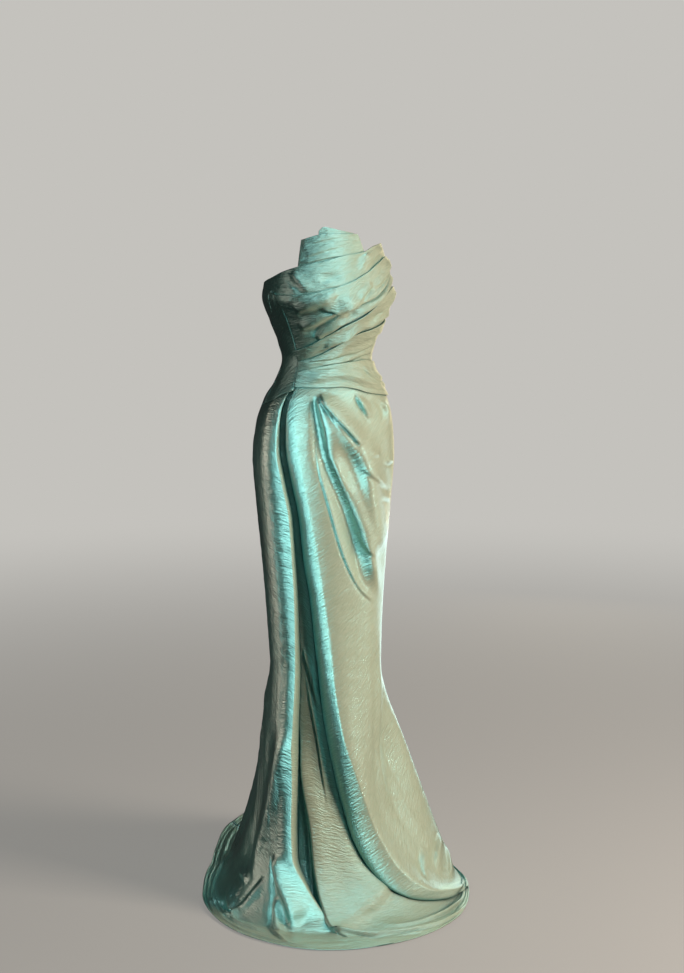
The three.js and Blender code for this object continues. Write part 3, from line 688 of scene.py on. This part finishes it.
strip("swathe_upper_cloth", "swathe_upper", NECKLINE, UPPER, [
    fold([(18, 1430), (11, 1402), (4, 1376)], 3, 9, 14, start=0.3, end=0.6, narrow=1),
    fold([(-34, 1360), (-24, 1372), (-12, 1371)], -2.5, 7, 10, start=0.4, narrow=1),
    fold([(-62, 1386), (-50, 1363), (-38, 1340)], 2.5, 8, 10, start=0.3, narrow=1),
    fold([(8, 1392), (30, 1420), (55, 1437)], 2.5, 6, 12, start=0.4, end=0.8, narrow=0.8),
], 150, 60, seam=False, rise=0.0, seed=21)
strip("swathe_middle_cloth", "swathe_middle", UPPER, MIDDLE, [
    fold([(-57, 1305), (-41, 1317), (-28, 1330), (-16, 1345)], 5, 10, 12, end=0.7, narrow=0.8),
    fold([(-57, 1268), (-40, 1284), (-24, 1302), (-11, 1317), (5, 1330)], 7, 12, 14, end=0.8,
         narrow=0.6),
    fold([(-36, 1308), (-24, 1312), (-17, 1309), (-8, 1317), (0, 1322), (13, 1332), (26, 1349),
          (42, 1376), (56, 1402)], 6, 4, 14, end=0.9, narrow=0.8),
    fold([(-38, 1244), (-27, 1268), (-16, 1288), (-6, 1308)], 5, 7, -12, end=0.8, narrow=0.8),
    fold([(-1, 1327), (7, 1345), (17, 1362)], 4, 4, 9, start=0.3, end=0.7, narrow=1),
    fold([(-40, 1246), (-23, 1262), (-15, 1275), (0, 1292), (14, 1310), (28, 1333), (45, 1358),
          (60, 1376)], 5, 4, 9, start=0.2, end=0.95, narrow=0.8),
    fold([(10, 1345), (26, 1366), (44, 1392), (58, 1410)], 4, 4, 9, start=0.3, end=0.95, narrow=0.8),
], 160, 110, seed=22)
strip("swathe_lower_cloth", "swathe_lower", MIDDLE, LOWER, [
    fold([(-32, 1225), (-20, 1239), (-8, 1248), (10, 1262)], 4, 5, 8, start=0.2, end=0.7),
    fold([(-37, 1218), (-13, 1239), (4, 1259), (19, 1274), (32, 1284), (60, 1300)], 5, 4, 8,
         end=0.95),
    fold([(11, 1266), (24, 1279), (38, 1301), (52, 1322), (62, 1336)], 3, 3, 6, start=0.3, end=0.95,
         narrow=0.8),
    fold([(18, 1261), (34, 1275), (60, 1292)], 3, 3, 6, start=0.3, end=0.95, narrow=0.8),
    fold([(20, 1290), (40, 1316), (60, 1342)], 2.5, 3, 6, start=0.3, end=0.95, narrow=0.8),
], 160, 80, seed=23)
strip("midriff_cloth", "midriff", LOWER, SASH_TOP, [
    fold([(-60, 1196), (-35, 1202), (-20, 1207), (-1, 1215), (12, 1218), (40, 1230), (60, 1240)],
         2.5, 3, 8, end=0.9),
    fold([(-35, 1189), (-20, 1194), (0, 1199), (30, 1212), (60, 1216)], 2, 3, 8, end=0.9),
    fold([(20, 1240), (45, 1252), (62, 1258)], 2, 3, 7, start=0.3, end=0.95, narrow=0.8),
], 150, 60, seed=24)
strip("waist_sash_cloth", "waist_sash", SASH_TOP, SASH_FOOT, [
    fold([(-51, 1153), (-35, 1167), (-12, 1174), (14, 1166), (45, 1149), (70, 1140)], 4, 10, 14,
         start=0.2, end=0.85, narrow=0.8),
    fold([(38, 1181), (58, 1164), (84, 1148), (94, 1131)], 3.5, 4, 10, start=0.2, end=0.95, narrow=0.8),
    fold([(25, 1187), (42, 1166), (73, 1143), (90, 1128)], 3, 4, 9, start=0.2, end=0.95, narrow=0.8),
], 150, 60, settle=False, lap=0, seed=25)

# ---------------------------------------------------------------- bodice: stand-up panel
# A folded panel of taffeta that stands up from behind the neckline, and the loose layer whose
# corner shows behind it. Their feet are tucked behind the drape's top strip.

PLASTRON = np.array([[-55, 1378, 1449], [-31, 1386, 1460], [8, 1400, 1461], [14, 1404, 1428]], float)
FLAP = np.array([[-36, 1440, 1468], [-31, 1440, 1476], [-10, 1440, 1469], [6, 1440, 1463]], float)


def upright(name, node, table, depth, creases, columns, rows):
    def shape(across, up):
        direction = table[0, 0] + (table[-1, 0] - table[0, 0]) * across
        foot, top = through(table, direction).T
        level = foot + (top - foot) * up
        radius = form_radius(direction, level)
        lift, along, pull = folded(creases, direction, level, radius)
        return placed(direction, level, lift - depth + crumple(direction, level, 24, 0.2, 31))

    cloth(name, node, columns, rows, shape, taffeta_skirt, thick=0.8)


upright("plastron_front_cloth", "plastron_front", PLASTRON, 4.6, [
    fold([(-50, 1412), (-34, 1424), (-18, 1434), (-6, 1440)], 1.4, 2, 9, start=0.2, narrow=0.8),
    fold([(-52, 1400), (-36, 1408), (-18, 1416), (-2, 1418)], 1.4, 2, 9, start=0.2, narrow=0.8),
    fold([(-46, 1440), (-28, 1450), (-8, 1458)], 1.0, 2, 8, start=0.2, narrow=0.8),
], 110, 70)
upright("plastron_flap_cloth", "plastron_flap", FLAP, 9.6, [
    fold([(-34, 1466), (-20, 1458), (-4, 1452)], 1.2, 2, 8, start=0.3, narrow=0.8),
], 50, 24)

# ---------------------------------------------------------------- bodice: side and backs
# Plain fitted panels of the same taffeta, from the top edge to the hip seam. A seam behind the
# drape joins them at the right side, and a plain seam joins the two backs.

BACK_TOP = np.array([[96, 1376], [130, 1330], [180, 1300], [230, 1316], [258, 1345], [276, 1345],
                     [288, 1337], [297, 1333]], float)


def plain(name, node, left, right, columns, rows, seed):
    def shape(across, up):
        level = np.full_like(across, 1230.0)
        for _ in range(4):
            direction = left(level) + (right(level) - left(level)) * across
            turned = np.where(direction < LEFT_SEAM, direction + 360, direction)
            foot, top = through(HIP_SEAM, turned)[:, 0], through(BACK_TOP, turned)[:, 0]
            level = foot + 0.4 + (top - foot - 0.4) * up
        return placed(direction, level, crumple(direction, level, 30, 0.2, seed))

    cloth(name, node, columns, rows, shape, taffeta_skirt, thick=0.9)


def drape_seam(level):
    return through(SIDE_SEAMS, level)[:, 0] - 0.2


def bust_seam(level):
    return through(SIDE_SEAMS, level)[:, 1]


plain("bodice_side_right_cloth", "bodice_side_right", lambda at: bust_seam(at) + 0.1, drape_seam, 24, 80, 41)
plain("bodice_back_right_cloth", "bodice_back_right", lambda at: np.full_like(at, CENTRE_BACK),
      lambda at: bust_seam(at) - 0.1, 60, 80, 42)
plain("bodice_back_left_cloth", "bodice_back_left", lambda at: np.full_like(at, LEFT_SEAM + 0.1),
      lambda at: np.full_like(at, -CENTRE_BACK), 60, 80, 43)
